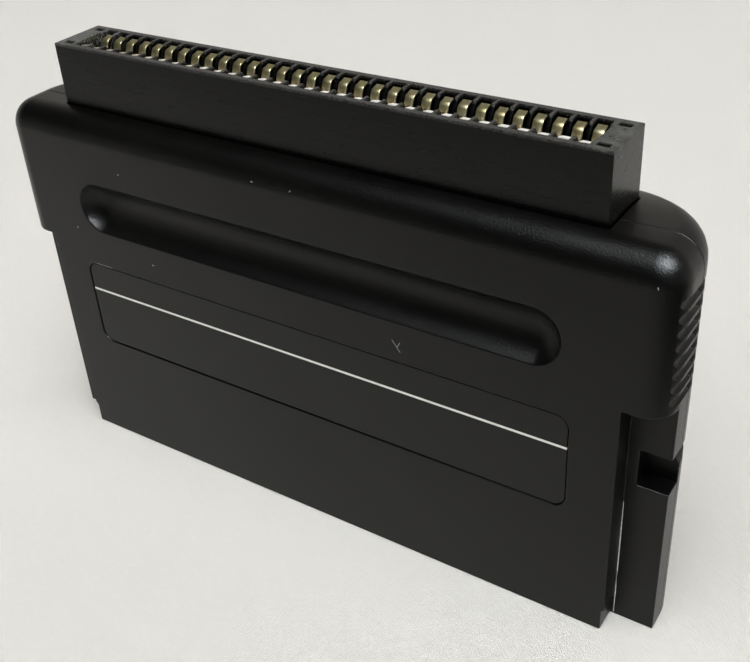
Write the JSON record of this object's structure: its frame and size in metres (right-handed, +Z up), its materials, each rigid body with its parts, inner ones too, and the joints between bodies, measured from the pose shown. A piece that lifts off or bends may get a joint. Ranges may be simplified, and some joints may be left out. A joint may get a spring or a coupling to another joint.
{
  "type": "cartridge adapter for a game console",
  "caption": "Black moulded cartridge adapter with a sprung card slot on top, an edge connector in the mouth below, a finger groove and ribbed shoulders.",
  "frame": {"origin": "middle of the case's footprint, at the height of the rim round the mouth, with the adapter standing upright", "axes": "+X along the width, to the right seen from the front; +Y from the front face to the back; +Z up towards the card slot"},
  "size_m": [0.1084, 0.0176, 0.0687],
  "materials": {
    "case_plastic": "satin black, finely spark-eroded",
    "insulator_plastic": "glass-filled black",
    "contact_gold": "gold-flashed spring strip",
    "finger_gold": "plated pads",
    "board": "green solder mask",
    "label_film": "printed film with one white rule",
    "screw_steel": "zinc plated"
  },
  "bodies": {
    "root": {"front_shell": "case_plastic", "back_shell": "case_plastic", "slot_housing": "insulator_plastic", "circuit_board": "board", "front_edge_fingers": "finger_gold", "rear_edge_fingers": "finger_gold", "label": "label_film", "case_screws": "screw_steel", "contact_pair_01": "contact_gold", "contact_pair_02": "contact_gold", "contact_pair_03": "contact_gold", "contact_pair_04": "contact_gold", "contact_pair_05": "contact_gold", "contact_pair_06": "contact_gold", "contact_pair_07": "contact_gold", "contact_pair_08": "contact_gold", "contact_pair_09": "contact_gold", "contact_pair_10": "contact_gold", "contact_pair_11": "contact_gold", "contact_pair_12": "contact_gold", "contact_pair_13": "contact_gold", "contact_pair_14": "contact_gold", "contact_pair_15": "contact_gold", "contact_pair_16": "contact_gold", "contact_pair_17": "contact_gold", "contact_pair_18": "contact_gold", "contact_pair_19": "contact_gold", "contact_pair_20": "contact_gold", "contact_pair_21": "contact_gold", "contact_pair_22": "contact_gold", "contact_pair_23": "contact_gold", "contact_pair_24": "contact_gold", "contact_pair_25": "contact_gold", "contact_pair_26": "contact_gold", "contact_pair_27": "contact_gold", "contact_pair_28": "contact_gold", "contact_pair_29": "contact_gold", "contact_pair_30": "contact_gold", "contact_pair_31": "contact_gold", "contact_pair_32": "contact_gold"}
  },
  "joints": []
}
